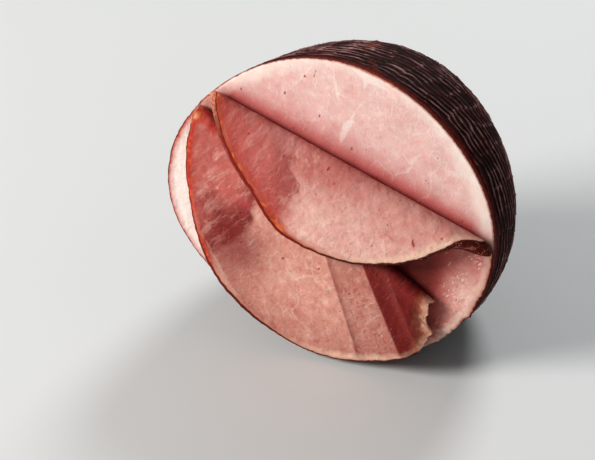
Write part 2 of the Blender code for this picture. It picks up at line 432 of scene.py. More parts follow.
def net_relief(arc, angle, place, tip_distance):
    """Height of the rind's ridges, and the share of a ridge's crest, at each point.

    The net leaves ridges beside the rim, broken and shifted where its other strands cross them."""
    around = angle * face_radius(angle)
    here = np.stack([arc * 1.6, around], axis=-1)
    sway = 0.34 * noise(here, 0.016, 3) + 0.2 * noise(here, 0.006, 4)
    sway = sway + 0.5 * ramp(0.03, 0.06, arc) * noise(here, 0.009, 5)
    lane = around / NET_MESH + 0.35 * noise(here, 0.02, 6)
    column = np.floor(lane).astype(np.int64)
    across = lane - column
    shift, next_shift = (LATTICE[strand * 37 % len(LATTICE)] for strand in (column, column + 1))
    jog = ramp(0.86, 1, across)
    sway = sway + 0.3 * (shift * (1 - jog) + next_shift * jog)
    phase = (arc - NET_START) / NET_PITCH + sway
    ridge = np.exp(-((phase - np.round(phase)) / RIDGE_WIDTH) ** 2)
    bulge = 0.5 - 0.5 * np.cos(2 * pi * phase)
    ridge = ridge * (0.72 + 0.42 * noise(here, 0.011, 8)) * ramp(0.0015, 0.006, arc)
    crossing = np.exp(-(np.minimum(across, 1 - across) / CROSSING_WIDTH) ** 2)
    crossing = crossing * (0.6 + 0.6 * noise(here, 0.013, 9)) * ramp(0.006, 0.012, arc)
    height = RIDGE_HEIGHT * (ridge - 0.35 - 0.18 * bulge) + CROSSING_HEIGHT * crossing
    from_tip = tip_distance / TIP_RADIUS
    gathered = 1 - ramp(0.25, 1, from_tip)
    pleats = PLEAT_HEIGHT * np.cos(TIP_GATHERS * angle + 1.5 * noise(here, 0.02, 10)) - PLEAT_SINK
    height = height * (1 - gathered) + pleats * gathered * ramp(0.02, 0.3, from_tip)
    height = height + RIND_GRAIN * rough_noise(place, 0.0035, 2, 12) * ramp(0, 0.004, arc)
    crest = np.clip(ridge + 0.5 * np.maximum(crossing, 0), 0, 1)
    return height * ramp(0, 0.003, arc), crest


def soft_floor(place):
    """Lets the rind sag onto the surface it rests on, with a soft turn into the flat foot."""
    place = place.copy()
    place[..., 2] = FOOT_SOFTNESS * np.logaddexp(0, place[..., 2] / FOOT_SOFTNESS)
    return place


def rind_ember(angle, arc):
    """Where the rind is thin and shows red: the streaks across the top, as share from 0 to 1."""
    share = np.zeros_like(arc)
    here = np.stack([angle * FACE_RADIUS, arc], axis=-1) / MM
    for *ends, width in RIND_STREAKS:
        ends = [(radians(degrees) * FACE_RADIUS / MM, away) for degrees, away in ends]
        share = np.maximum(share, 1 - ramp(0.2, 1, stroke_distance(here, ends) / width))
    return share


def block_dusk(flat):
    """Painted shade on the cut face in the crease above the inner slice's fold, less far at the fold's two
    ends.
    """
    run, side = fold_place(INNER_FOLD, flat)
    width = 0.006 - 0.003 * (1 - ramp(0, 0.045, run)) - 0.0026 * ramp(0.1, 0.15, run)
    return 0.92 * np.exp(-np.maximum(side, 0) / width)


def build_block(rind, meat):
    """The half ham as one closed mesh: its rind with the netted ridges, and its cut face."""
    longest = max(meridian_depths(angle, 0)[1] for angle in np.linspace(0, 2 * pi, 24))
    fine = np.arange(0, FINE_UNTIL, RIND_ROW_FINE)
    coarse = np.arange(FINE_UNTIL, longest - RIND_ROW_COARSE / 2, RIND_ROW_COARSE)
    arcs = np.concatenate([fine, coarse]) / longest
    angles = np.linspace(-3 * pi / 4, 5 * pi / 4, RIND_COLUMNS, endpoint=False)
    depth, arc = np.empty((2, len(arcs), RIND_COLUMNS))
    for column, angle in enumerate(angles):
        depth[:, column], length = meridian_depths(angle, arcs)
        arc[:, column] = arcs * length
    angle = np.broadcast_to(angles, depth.shape)
    base = dome_point(angle, depth)
    tip = dome_point(np.array(0), np.array(1))
    round_it = (np.roll(base, -1, axis=1) - np.roll(base, 1, axis=1)) / 2
    outward = unit(np.cross(np.gradient(base, axis=0), round_it))
    centre = to_world(0, 0, -HAM_DEPTH / 2)
    outward = outward * np.sign(((base - centre) * outward).sum(-1).mean())
    height, crest = net_relief(arc, angle, base, lengths(base - tip))
    surface = soft_floor(base + outward * height[..., None])

    ring = np.arange(RIND_COLUMNS)
    after = np.roll(ring, -1)
    top = np.arange(len(arcs) - 1)[:, None] * RIND_COLUMNS
    low = top + RIND_COLUMNS
    quads = np.stack([low + ring, low + after, top + after, top + ring], axis=-1).reshape(-1, 4)
    tip_index = len(arcs) * RIND_COLUMNS
    last = tip_index - RIND_COLUMNS
    fan = np.stack([np.full_like(ring, tip_index), last + after, last + ring], axis=-1)

    share, direction = square_grid(RIND_COLUMNS // 4)
    radius = face_radius(direction)
    flat = (share * radius)[:, None] * heading(direction)
    relief = FACE_RELIEF * rough_noise(flat, 0.009, 2, 20) * ramp(1, 0.95, share)
    face_points = to_world(flat[:, 0], flat[:, 1], relief - FACE_SINK)
    disc, border = grid_faces(RIND_COLUMNS // 4)
    # The disc's border is the rind's first row: each border point takes its place.
    border_angle = np.mod(direction[border] - angles[0], 2 * pi)
    inner = np.ones(len(share), bool)
    inner[border] = False
    count = inner.sum()
    rename = np.empty(len(share), int)
    rename[border] = np.round(border_angle / (2 * pi) * RIND_COLUMNS).astype(int) % RIND_COLUMNS
    rename[inner] = tip_index + 1 + np.arange(count)
    disc = rename[disc]

    tip_point = soft_floor(tip - (0, TIP_SINK, 0))
    points = np.concatenate([surface.reshape(-1, 3), tip_point[None], face_points[inner]])
    rim = face_radius(angles)[:, None] * heading(angles)
    flat = np.concatenate([rim, np.zeros((tip_index + 1 - RIND_COLUMNS, 2)), flat[inner]])
    edge = np.concatenate([np.zeros(tip_index + 1), ((1 - share) * radius)[inner]])
    attributes = meat_marks(flat, edge, BLOCK_FACE)
    # Painted shade in the crease above the inner slice's fold.
    attributes["dusk"] = block_dusk(flat)
    for key, on_rind, at_tip in (("arc", arc / MM, longest / MM), ("crest", crest, 0),
                                 ("ember", rind_ember(angle, arc), 0)):
        attributes[key] = np.concatenate([on_rind.ravel(), [at_tip], np.zeros(count)])
    faces = [*quads.tolist(), *fan.tolist(), *disc.tolist()]
    face_material = [0] * (len(quads) + len(fan)) + [1] * len(disc)
    return make_object("ham_half", points, faces, attributes, [rind, meat], face_material)


# ---- the slices
def torn_radius(angle):
    """How far the outer slice reaches before its torn end, from the middle of the face."""
    beyond_at, along_at = zip(*TORN_END)
    reach = np.linspace(0.04, 0.1, 301)
    table = np.linspace(-pi, pi, 1441)
    s, m = fold_place(OUTER_FOLD, reach[:, None, None] * heading(table))
    torn_off = s > np.interp(m, beyond_at, along_at)
    first = np.where(torn_off.any(axis=0), reach[torn_off.argmax(axis=0)], 1)
    return np.interp(wrapped(angle), table, first)


def tear_distance(flat):
    """Distance of a flat slice's points from the line along which it is torn off."""
    start, along, beyond, _ = fold_axes(OUTER_FOLD)
    return stroke_distance(flat, [start + s * along + m * beyond for m, s in TORN_END])


def slice_outline(fold, angle):
    """Outline radius of a slice, slightly uneven as a knife and net leave it."""
    spot = FACE_RADIUS * heading(angle)
    radius = slice_radius(fold, angle) + UNEVEN_EDGE * rough_noise(spot, 0.006, 3, 40 + fold["layer"])
    if fold is OUTER_FOLD:
        return np.minimum(radius, torn_radius(angle) + RAGGED_TEAR * rough_noise(spot, 0.003, 3, 50))
    above_fold = ramp(-2, 4, np.degrees(wrapped(angle)))
    radius = radius + above_fold * MM * humps(angle, 0, INNER_BULGES)
    return radius + RAGGED_EDGE * humps(angle, 0, [(-36, 22, 1)]) * rough_noise(spot, 0.0026, 3, 51)


def crease_sides(flat):
    """How far, in millimetres, a point lies beyond each crease, towards the torn end."""
    u, w = flat[..., 0] / MM, flat[..., 1] / MM
    return [w0 + (u - u0) * (w1 - w0) / (u1 - u0) - w for (u0, w0), (u1, w1) in CREASES]


def slice_wave(fold, flat):
    """Soft waves of the hanging part, and the outer slice's creases."""
    _, m = fold_place(fold, flat)
    wave = WAVE_HEIGHT * noise(flat, 0.03, 60 + fold["layer"]) * ramp(0.006, 0.03, m)
    if fold is OUTER_FOLD:
        first, second, third = crease_sides(flat)
        bend = np.interp(third, [-5, -0.5, 0.6, 6, 20], [0, 0.35, 0.25, -0.8, -1.2]) * ramp(0, 0.01, m)
        bend = bend + np.interp(second, [-19, -0.5, 0.5, 7, 12], [0, 1.9, 1.8, 0.2, 0])
        bend = bend + np.interp(first, [-22, -0.5, 0.7, 5], [0, 0.45, 0.15, 0])
        wave = wave + MM * bend * ramp(0.016, 0.05, flat[..., 0])
    return wave


def feather(fold, flat, part):
    """How the outer slice thins towards its torn end, from its back or, in the bend, its front.

    The part is 0 on the slice's back, 1 on its front and in between on its edge."""
    if fold is INNER_FOLD:
        return 0
    on_back = ramp(-0.001, 0.007, fold_place(fold, flat)[1])
    return FEATHER_DEPTH * (part - on_back) * (1 - ramp(0, FEATHER_WIDTH, tear_distance(flat)))


def build_slice(name, fold, meat, rind, back_marks, front_marks):
    """A folded slice as one closed mesh: its two sides and the rind round its edge."""
    share, direction = square_grid(SLICE_CELLS)
    disc, border = grid_faces(SLICE_CELLS)
    half = SLICE_THICKNESS / 2
    count = len(share)

    def side(part):
        sign = 1 - 2 * part
        radius = slice_outline(fold, direction)
        if part == 0:
            radius = radius - MM * humps(direction, *fold["slant"])
        flat = (share * radius)[:, None] * heading(direction)
        relief = SLICE_RELIEF * rough_noise(flat, 0.0045, 2, 70 + sign)
        relief = relief + SLICE_GRAIN * noise(flat, 0.0016, 74 + sign)
        offset = sign * (half - RIM_ROUNDING * ramp(0.985, 1, share)) + relief * ramp(1, 0.97, share)
        place = slice_point(fold, flat, offset + feather(fold, flat, part))
        return place, flat, (1 - share) * radius, np.full(count, sign)

    sheets = [side(0), side(1)]
    back_rim, front_rim = (flat[border] for _, flat, _, _ in sheets)
    for part in np.arange(1, RIM_ROWS) / RIM_ROWS:
        flat = back_rim * (1 - part) + front_rim * part
        grain = rough_noise(np.insert(flat, 2, part * 0.004, axis=1), 0.0016, 2, 80)
        flat = flat + unit(flat) * sin(pi * part) * (RIM_BULGE + RIM_GRAIN * grain)[:, None]
        offset = (half - RIM_ROUNDING) * cos(pi * part) + feather(fold, flat, part)
        place = slice_point(fold, flat, offset)
        sheets.append((place, flat, np.zeros(len(flat)), np.full(len(flat), 1 - 2 * part)))
    points, flat, edge, side_of = (np.concatenate(column) for column in zip(*sheets))

    rim = np.arange(2 * count, len(points)).reshape(RIM_ROWS - 1, -1)
    rows = np.vstack([border, rim, border + count])
    after = np.roll(rows, -1, axis=1)
    rim_faces = np.stack([rows[:-1], rows[1:], after[1:], after[:-1]], axis=-1).reshape(-1, 4)
    # The back faces the viewer once folded, so the flat slice's back looks towards -n.
    faces = np.concatenate([disc, disc[:, ::-1] + count, rim_faces])[:, ::-1].tolist()
    face_material = [0] * (2 * len(disc)) + [1] * len(rim_faces)

    attributes = meat_marks(flat, edge, front_marks)
    on_back = side_of > 0
    for key, values in meat_marks(flat, edge, back_marks).items():
        attributes[key][on_back] = values[on_back]
    angle = np.arctan2(flat[:, 1], flat[:, 0])
    attributes.update(side=side_of, ember=humps(angle, 0, [(118, 34, 1), (80, 20, 0.6)]))
    if fold is OUTER_FOLD:
        torn = ramp(0, 0.002, slice_radius(fold, angle) - torn_radius(angle))
        thin = (1 - ramp(0, 0.012, tear_distance(flat))) * on_back
        dusk = outer_dusk(flat, edge) * on_back
        attributes.update(tan=humps(angle, 0, [(146, 8, 0.8)]), thin=thin, dusk=dusk)
    else:
        torn = humps(angle, 0, [(-46, 9, 0.95)])
        dusk = inner_dusk(flat, on_back, attributes["red"], edge)
        attributes.update(tan=humps(angle, 0, [(139, 9, 1.1)]), gap=inner_gap(flat) * ~on_back, dusk=dusk)
    attributes.update(torn=torn, line=attributes["line"] + 2 * torn, glow=attributes["glow"] + 2 * torn)
    return make_object(name, points, faces, attributes, [meat, rind], face_material)


def inner_dusk(flat, on_back, red, edge):
    """Painted shade on the inner slice, towards its fold on both sides and towards its rim in the dark
    muscle.
    """
    _, beyond_fold = fold_place(INNER_FOLD, flat)
    back = 0.42 * (1 - ramp(0.004, 0.03, beyond_fold)) * ramp(8, -6, red)
    back = back * (1 - 0.48 * ramp(0.005, 0.04, flat[:, 0]))
    back = back + 0.75 * np.exp(-edge / 0.012) * ramp(-10, 0, red)
    front = 0.5 * ramp(-0.038, -0.006, beyond_fold) + 0.74 * (1 - ramp(0.054, 0.072, flat[:, 0]))
    return np.where(on_back, back, np.clip(front, 0, 0.9) * open_end(flat))


def open_end(flat):
    """Low at the fold's upper end, where light reaches the inner slice's front, and 1 elsewhere."""
    return 0.15 + 0.85 * ramp(-0.062, -0.05, flat[:, 0])


def inner_gap(flat):
    """Painted shadow on the inner slice's front where it lies deep beside the outer slice, from 0 to 1."""
    upper = 0.42 + 0.58 * ramp(-0.05, -0.03, flat[:, 1])
    return (1 - ramp(0.052, 0.065, flat[:, 0])) * upper * open_end(flat)


def outer_dusk(flat, edge):
    """Painted shade on the outer slice's back, from 0 to 1: past its creases, which turn it from the light,
    near its edge and in a patch.
    """
    first, second, third = crease_sides(flat)
    after_second = np.interp(second, [-0.5, 0.5, 5, 10], [0, 1, 0.95, 0.8])
    after_third = np.interp(third, [-0.5, 0.5, 7, 16], [0, 0.25, 0.2, 0])
    after_first = np.interp(first, [-0.3, 0.3, 4, 30], [0, 0.36, 0.2, 0.26])
    angle = np.arctan2(flat[:, 1], flat[:, 0])
    lower = 0.1 * ramp(0.05, 0.074, lengths(flat)) * ramp(0.005, 0.025, flat[:, 1])
    lower = lower + humps(angle, 0, [(60, 22, 0.75)]) * np.exp(-edge / 0.003)
    lower = lower + humps(angle, 0, [(6, 24, 0.17)]) * np.exp(-edge / 0.01)
    for middle, radius, depth in (((0.009, 0.055), 0.0155, 0.52), ((-0.003, 0.055), 0.0065, 0.22)):
        lower = lower + depth * np.exp(-(lengths(flat - np.array(middle)) / radius) ** 2)
    return np.clip(np.maximum(after_first, after_second + after_third) + lower, 0, 1)


# ---- shader building blocks
class Nodes:
    """Short ways to add and link the nodes of one material, and to paint its colour in coats."""

    def __init__(self, name):
        self.material = bpy.data.materials.new(name)
        self.material.use_nodes = True
        self.tree = self.material.node_tree
        self.colour = None

    def add(self, kind, inputs=(), **settings):
        """The outputs of a new node, once its inputs are set or linked."""
        node = self.tree.nodes.new("ShaderNode" + kind)
        for key, value in settings.items():
            setattr(node, key, value)
        for key, value in dict(inputs).items():
            self.put(node.inputs[key], value)
        return node.outputs

    def put(self, socket, value):
        if isinstance(value, bpy.types.NodeSocket):
            self.tree.links.new(value, socket)
        elif isinstance(value, tuple) and socket.type == "RGBA":
            socket.default_value = (*value, 1)[:4]
        else:
            socket.default_value = value

    def read(self, name, output="Fac"):
        return self.add("Attribute", attribute_name=name)[output]

    def place(self):
        return self.add("TexCoord")["Object"]

    def math(self, operation, a, b=0, clamp=False):
        return self.add("Math", {0: a, 1: b}, operation=operation, use_clamp=clamp)[0]

    def times(self, a, b):
        return self.math("MULTIPLY", a, b)

    def plus(self, a, b):
        return self.math("ADD", a, b)

    def minus(self, a, b):
        return self.math("SUBTRACT", a, b)

    def larger(self, a, b):
        return self.math("MAXIMUM", a, b)

    def range(self, value, low, high, to_low=0, to_high=1):
        """Runs from one number to another as the value runs from low to high."""
        return self.add("MapRange", {"Value": value, "From Min": low, "From Max": high,
                                     "To Min": to_low, "To Max": to_high})[0]

    def mix(self, share, a, b):
        return self.add("Mix", {0: share, 6: a, 7: b}, data_type="RGBA")[2]

    def coat(self, tint, *shares):
        """Puts a tint over the colour so far, as much as the product of the shares."""
        self.colour = self.mix(functools.reduce(self.times, shares), self.colour, tint)

    def mapped(self, vector, scale, turn):
        """The coordinates turned, and then stretched."""
        turned = self.add("Mapping", {"Vector": vector, "Rotation": (0, 0, turn)})[0]
        return self.add("Mapping", {"Vector": turned, "Scale": scale})[0]

    def vector(self, operation, a, b, output=0):
        return self.add("VectorMath", {0: a, 1: b}, operation=operation)[output]

    def scaled(self, vector, amount):
        return self.add("VectorMath", {0: vector, "Scale": amount}, operation="SCALE")[0]

    def warped(self, vector, size, amount):
        """The coordinates moved about by soft noise, so that what they draw looks grown."""
        colour = self.add("TexNoise", {"Vector": vector, "Scale": 1 / size})["Color"]
        shift = self.scaled(self.vector("SUBTRACT", colour, (0.5, 0.5, 0.5)), amount)
        return self.vector("ADD", vector, shift)

    def vein(self, place, corners):
        """How far a place is inside a line through the corners, each of them (u, w, half width)."""
        parts = []
        for (u0, w0, half0), (u1, w1, half1) in zip(corners, corners[1:]):
            run = Vector((u1 - u0, w1 - w0, 0))
            gone = self.vector("SUBTRACT", place, (u0, w0, 0))
            share = self.vector("DOT_PRODUCT", gone, tuple(run / run.length_squared), "Value")
            share = self.math("ADD", share, 0, clamp=True)
            away = self.vector("DISTANCE", gone, self.scaled(tuple(run), share), "Value")
            parts.append(self.minus(self.range(share, 0, 1, half0, half1), away))
        return functools.reduce(self.larger, parts)

    def veins(self, place, lines, soft):
        """Share of vein at a place: 1 in its middle, 0 from a little outside it."""
        inside = functools.reduce(self.larger, [self.vein(place, corners) for corners in lines])
        return self.range(inside, -soft, soft * 0.4)

    def noise(self, vector, size, detail=2, rough=0.5):
        return self.add("TexNoise", {"Vector": vector, "Scale": 1 / size, "Detail": detail,
                                     "Roughness": rough})["Fac"]

    def blotches(self, vector, size, low, high, detail=2, rough=0.5, to_low=0, to_high=1):
        """Noise whose range from low to high is spread out."""
        return self.range(self.noise(vector, size, detail, rough), low, high, to_low, to_high)

    def ragged(self, vector, size, detail=2, rough=0.5):
        """Noise to either side of 0."""
        return self.minus(self.noise(vector, size, detail, rough), 0.5)

    def cells(self, vector, size, feature="F1"):
        return self.add("TexVoronoi", {"Vector": vector, "Scale": 1 / size}, feature=feature)

    def bump(self, height, distance):
        return self.add("Bump", {"Height": height, "Distance": distance, "Strength": 1})[0]

    def finish(self, inputs):
        """The material, once its surface has the colour and the other inputs."""
        for key, value in {"Base Color": self.colour, **inputs}.items():
            self.put(self.tree.nodes["Principled BSDF"].inputs[key], value)
        return self.material


# ---- the meat, painted in coats
def paint_muscle(n, look, flat, soft, mottle):
    """Dark muscle inside a ragged edge, darkest beside it.  Returns its share, and its dark patch."""
    inside = n.plus(n.read("red"), n.times(n.ragged(flat, 8, 5, 0.65), 11))
    red = n.range(inside, -2.2, 2.6, 0, look["muscle_share"])
    tone = n.range(n.plus(inside, n.times(mottle, 8)), 6, 26)
    n.coat(n.mix(tone, look["muscle_dark"], look["muscle"]), red)
    patch = None
    if look["patches"]:
        patch = n.times(n.veins(soft, look["patches"], 7), n.range(mottle, 0.62, 0.42, 0.65, 1))
        patch = n.times(patch, red)
        n.coat(look["muscle_dark"], patch)
    return red, patch


def paint_fibres(n, look, flat, soft, close, red, patch):
    """Short ticks of the cut fibres, and longer pale fibres in places and in the dark muscle."""
    grain = look["grain"]
    tick = n.noise(n.mapped(close, (1.35, 0.6, 1), grain), 1.15, 2, 0.6)
    pale_ticks = n.range(tick, 0.56, 0.72, 0, look["ticks"])
    n.coat(look["pale"], pale_ticks, n.range(red, 0, 1, 1, 0.35))
    n.coat(look["deeper"], n.range(tick, 0.44, 0.28, 0, look["ticks"]))
    smear = n.blotches(n.mapped(soft, (1, 0.3, 1), grain), 4, 0.5, 0.66, 3, 0.6)
    n.coat(look["sinew"], smear, red, 0.38)
    strands = n.mapped(n.warped(soft, 4, 2.6), (1, 0.16, 1), grain)
    where_red = n.times(red, n.blotches(flat, 10, 0.4, 0.58))
    where = n.larger(n.blotches(flat, 17, 0.46, 0.62), where_red)
    if patch:
        where = n.times(where, n.range(patch, 0, 1, 1, 0.25))
    fibre = n.times(n.blotches(strands, 1.6, 0.55, 0.68, 3, 0.6), where)
    n.coat(n.mix(red, look["pale"], look["sinew"]), fibre, look["fibre"])
    return tick, fibre


def paint_net(n, look, veins, flat, close, red, dusk):
    """A broken net of pale veins between muscle bundles, and the larger veins one by one.

    Returns the net, and how far the crackled meat between its veins is puffed up."""
    cell = n.cells(n.warped(flat, 4, 2.2), 7.5, "DISTANCE_TO_EDGE")["Distance"]
    fine_cell = n.cells(close, 3.6, "DISTANCE_TO_EDGE")["Distance"]
    net = n.larger(n.range(cell, 0, 0.045, 1, 0), n.range(fine_cell, 0, 0.05, 0.6, 0))
    where = n.blotches(flat, 13, 0.5, 0.62, 3)
    puffed = 0
    if look["crackle"]:
        crackled = n.veins(flat, look["crackle"], 4)
        where = n.larger(where, crackled)
        puffed = n.times(n.range(fine_cell, 0, 0.3), crackled)
    # The net fades where shade is painted.
    where = n.times(where, n.minus(1, dusk))
    net = n.times(net, n.times(where, n.minus(1, red)))
    n.coat(look["pale"], net, look["net"])
    faded = n.blotches(flat, 2.2, 0.25, 0.5, 2, 0.5, 0.3, look["veins"])
    n.coat(look["vein"], n.veins(close, veins, 0.55), faded)
    return net, puffed


def paint_pits(n, look, gashes, flat, close, red):
    """Small dark red pits, cracks and gashes.  Returns how deep the pits and gashes are."""
    pits = n.cells(n.mapped(n.warped(flat, 3, 1), (1, 0.62, 1), look["grain"]), 3.9)
    chance = n.add("SeparateColor", {0: pits["Color"]})
    size = n.range(chance[1], 0, 1, 0.05, 0.17)
    pit = n.range(n.minus(size, pits["Distance"]), -0.02, 0.03)
    pit = n.times(pit, n.range(n.plus(chance[0], n.times(red, 0.15)), 0.6, 0.64))
    n.coat(n.mix(red, look["pit"], look["gash"]), pit, 0.88)
    if look["cracks"]:
        crack = n.veins(n.warped(flat, 2, 1.4), look["cracks"], 0.35)
        faint = n.blotches(flat, 2.5, 0.35, 0.6, 2, 0.5, 0.1, 0.6)
        n.coat(look["muscle_dark"], crack, faint)
    if gashes:
        gash = n.veins(close, gashes, 0.35)
        n.coat(look["gash"], gash, 0.9)
        pit = n.larger(pit, gash)
    return pit


def paint_glints(n, look, flat, close, red, side):
    """Painted highlights: tiny pale glints, and glinting streaks of moisture on the slice's front, kept out
    of the painted shadow.
    """
    glint = n.times(n.blotches(flat, 0.75, 0.74, 0.8, 1), n.range(red, 0, 1, 1, 0.2))
    n.coat(look["vein"], glint, look["glint"])
    # Glinting streaks of moisture, painted on as highlights.
    if look["wet_glints"]:
        wet_glints = n.blotches(n.mapped(close, (1, 0.34, 1), 0.6), 0.95, 0.54, 0.66)
        streaked = n.larger(n.blotches(flat, 9, 0.46, 0.62), n.veins(close, look["wet_glints"], 4))
        wet_glints = n.times(wet_glints, n.times(streaked, 0.8))
        wet_glints = n.times(wet_glints, n.range(side, -0.4, -0.6))
        n.coat(look["wet_glint_tint"], wet_glints, n.range(n.read("gap"), 0, 0.4, 1, 0))


def paint_rim(n, look, flat, close, dusk, side):
    """The fat at the rim, the red line inside the rind with its painted glow, and the rind, whose line it
    returns.
    """
    ragged = n.ragged(flat, 2.6, 4, 0.65)
    drift = n.times(n.ragged(flat, 8), look["fat_drift"])
    fat_line = n.plus(n.read("fat"), n.plus(n.times(ragged, look["fat_ragged"]), drift))
    cream = n.mix(n.blotches(flat, 5, 0.35, 0.65, 3), look["cream"], look["cream_warm"])
    cream = n.mix(n.range(side, -0.4, -0.6, 0, 0.9), cream, look["front_fat"])
    n.coat(cream, n.range(fat_line, look["fat_soft"], -0.8, 0, 0.85))
    # Painted shade over the fat as well.
    n.coat(look["dusk"], dusk, 0.4)
    # The red line inside the rind: partly its own colour and partly a painted glow of light through the
    # thin meat.
    glow_line = n.plus(n.read("glow"), n.times(ragged, 1.6))
    ember = n.mix(n.blotches(flat, 4, 0.48, 0.64, 3), look["glow"], look["glow_bright"])
    n.coat(look["glow"], n.range(glow_line, look["glow_soft"], 0, 0, 0.6))
    n.coat(ember, n.range(glow_line, 1.1, -0.5, 0, 0.9))
    # Spots; the outer slice's one is a painted highlight at its tip.
    if look["spots"]:
        spot = n.veins(close, look["spots"], look["spot_soft"])
        n.coat(look["spot"], spot, n.range(ragged, -0.15, 0.15, 0.3, 1))
    # The torn end: its orange is partly a painted glow of light through the thin meat, and its pale edge is
    # the torn meat's own colour.
    if look["frayed"]:
        frayed = n.plus(n.read("thin"), n.times(ragged, 0.6))
        n.coat(look["frayed"][0], n.range(frayed, 0.3, 0.9, 0, 0.9))
        n.coat(look["frayed"][1], n.range(frayed, 0.76, 1.02, 0, 0.95))
    line = n.plus(n.read("line"), n.times(ragged, look["line_ragged"]))
    n.coat(look["rind"], n.range(line, 0.3, -0.15))
    return line


def meat_material(name, look, veins, gashes=()):
    """Moist cooked ham: fibres, pale veins, little dark pits, and fat and a line of rind at its rim, with
    painted shade, shadow, glints and glow.
    """
    n = Nodes(name)
    flat = n.read("flat", "Vector")
    dusk, side = n.read("dusk"), n.read("side")
    soft = n.warped(flat, 14, 4)
    close = n.warped(flat, 2.6, 1.6)

    # Pink that drifts between two tones, with a finer mottle.
    n.colour = n.mix(n.blotches(flat, 24, 0.36, 0.64, 3, 0.55), look["pink"], look["deep"])
    mottle = n.noise(soft, 5.5, 4, 0.62)
    n.coat(look["pale"], n.range(mottle, 0.52, 0.7, 0, 0.55))
    n.coat(look["deeper"], n.range(mottle, 0.46, 0.3, 0, 0.6))

    red, patch = paint_muscle(n, look, flat, soft, mottle)
    # Painted shade, laid on here and again after the veins.
    n.coat(look["dusk"], dusk)
    tick, fibre = paint_fibres(n, look, flat, soft, close, red, patch)
    for lines, spread, tint, share in look["tints"]:
        n.coat(tint, n.veins(soft, lines, spread), n.range(mottle, 0.62, 0.42, 0.5, 1), share)
    net, puffed = paint_net(n, look, veins, flat, close, red, dusk)
    # The painted shade again, over the veins.
    n.coat(look["dusk"], dusk, 0.8)
    # Painted shadow deep beside the outer slice.
    if look["gap"]:
        n.coat(look["gap"], n.read("gap"), 0.95)
    pit = paint_pits(n, look, gashes, flat, close, red)
    paint_glints(n, look, flat, close, red, side)
    line = paint_rim(n, look, flat, close, dusk, side)

    height = n.times(n.noise(soft, 1.3, 3, 0.6), 0.5)
    for layer, strength in ((tick, 0.5), (fibre, 0.3), (net, -0.35), (pit, -0.9),
                            (n.noise(soft, 4.5), look["dents"]), (puffed, -1)):
        height = n.plus(height, n.times(layer, strength))
    return n.finish({"Roughness": n.blotches(flat, 3, 0.3, 0.7, 3, 0.5, 0.38, 0.58),
                     "Normal": n.bump(height, look["bump"]), "Specular IOR Level": look["gloss"],
                     "Subsurface Weight": n.range(line, 0.9, 0, 0.35, 0),
                     "Subsurface Radius": (1, 0.28, 0.18), "Subsurface Scale": 0.0018})


# ---- the rind
# Colours of the rind on the block and on the slices' edges.  The ridge colour is partly the ridges' own
# lighter colour and partly a painted highlight; the edge's pale sheen line is a painted highlight.
SKIN = {
    "black": (0.011, 0.0022, 0.0021), "brown": (0.036, 0.0062, 0.0052), "ridge": (0.47, 0.235, 0.22),
    "near_rim": (0.048, 0.0052, 0.0046), "red": (0.19, 0.015, 0.01), "fleck": (0.31, 0.038, 0.012),
    "ember": (0.25, 0.034, 0.012),
}
EDGE = {
    "dark": (0.034, 0.004, 0.0034), "brown": (0.115, 0.014, 0.009), "gold": (0.66, 0.3, 0.17),
    "ember": (0.22, 0.016, 0.012), "skin_sheen": (0.42, 0.135, 0.12), "tan": (0.62, 0.215, 0.125),
    "deep_tan": (0.26, 0.07, 0.045), "crumb": (0.84, 0.56, 0.42), "deep_crumb": (0.5, 0.17, 0.1),
}


def rind_material(name):
    """Smoked rind: near black, lighter on the net's ridges, partly with a painted highlight, and red where
    it is thin.
    """
    n = Nodes(name)
    place = n.place()
    n.colour = n.mix(n.blotches(place, 0.012, 0.36, 0.66, 4, 0.6), SKIN["black"], SKIN["brown"])
    patchy = n.blotches(place, 0.0045, 0.34, 0.62, 3, 0.6, 0.25, 1)
    # The ridges' crests are lightened: partly their own colour and partly a painted highlight.
    n.coat(SKIN["ridge"], n.range(n.read("crest"), 0.35, 0.95), patchy)
    ragged = n.ragged(place, 0.003, 3, 0.6)
    near = n.plus(n.read("arc"), n.times(ragged, 10))
    reddish = n.mix(n.blotches(place, 0.003, 0.42, 0.6, 4, 0.65), SKIN["near_rim"], SKIN["red"])
    n.coat(reddish, n.range(near, 7, 3, 0, 0.92))
    flecks = n.blotches(place, 0.0045, 0.42, 0.6, 3, 0.6, 0.15, 0.95)
    n.coat(SKIN["fleck"], n.range(near, 2.2, -0.6), flecks)
    ember = n.plus(n.read("ember"), n.times(ragged, 3.6))
    n.coat(SKIN["ember"], n.range(ember, 0.45, 1.5, 0, 0.6))
    return n.finish({"Roughness": n.blotches(place, 0.004, 0.3, 0.7, 3, 0.5, 0.36, 0.56),
                     "Normal": n.bump(n.noise(place, 0.0012, 4, 0.65), 0.0007), "Specular IOR Level": 0.03})


